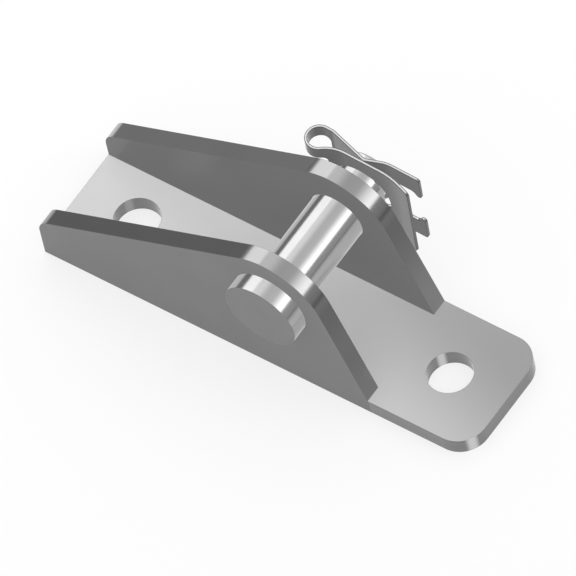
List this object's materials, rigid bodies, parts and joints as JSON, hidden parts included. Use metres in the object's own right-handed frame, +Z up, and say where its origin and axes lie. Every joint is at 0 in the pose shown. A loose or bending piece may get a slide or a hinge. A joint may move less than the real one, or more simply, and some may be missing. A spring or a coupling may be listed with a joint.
{
  "type": "gas spring bracket",
  "caption": "Folded steel clevis bracket with a flat screw-down base, sloping ears, a headed clevis pin and a bent spring clip for the end eye of a gas spring.",
  "frame": {"origin": "on the underside of the base, midway between the two screw holes", "axes": "+X along the base from its square end to its rounded tongue, -Y towards the pin's head, +Z up from the surface that the bracket is screwed to"},
  "size_m": [0.068, 0.0261, 0.025],
  "materials": {
    "bracket_steel": "bright zinc-plated sheet, smooth",
    "pin_steel": "turned and polished",
    "spring_steel": "bright spring strip with sheared edges"
  },
  "bodies": {
    "bracket": {"bracket": "bracket_steel"},
    "pin": {"clevis_pin": "pin_steel", "retaining_clip": "spring_steel"}
  },
  "joints": [
    {"name": "pin_turn", "type": "hinge", "parent": "bracket", "child": "pin", "pos_m": [0.005, 0, 0.0165], "axis": [0, 1, 0], "continuous": true}
  ]
}
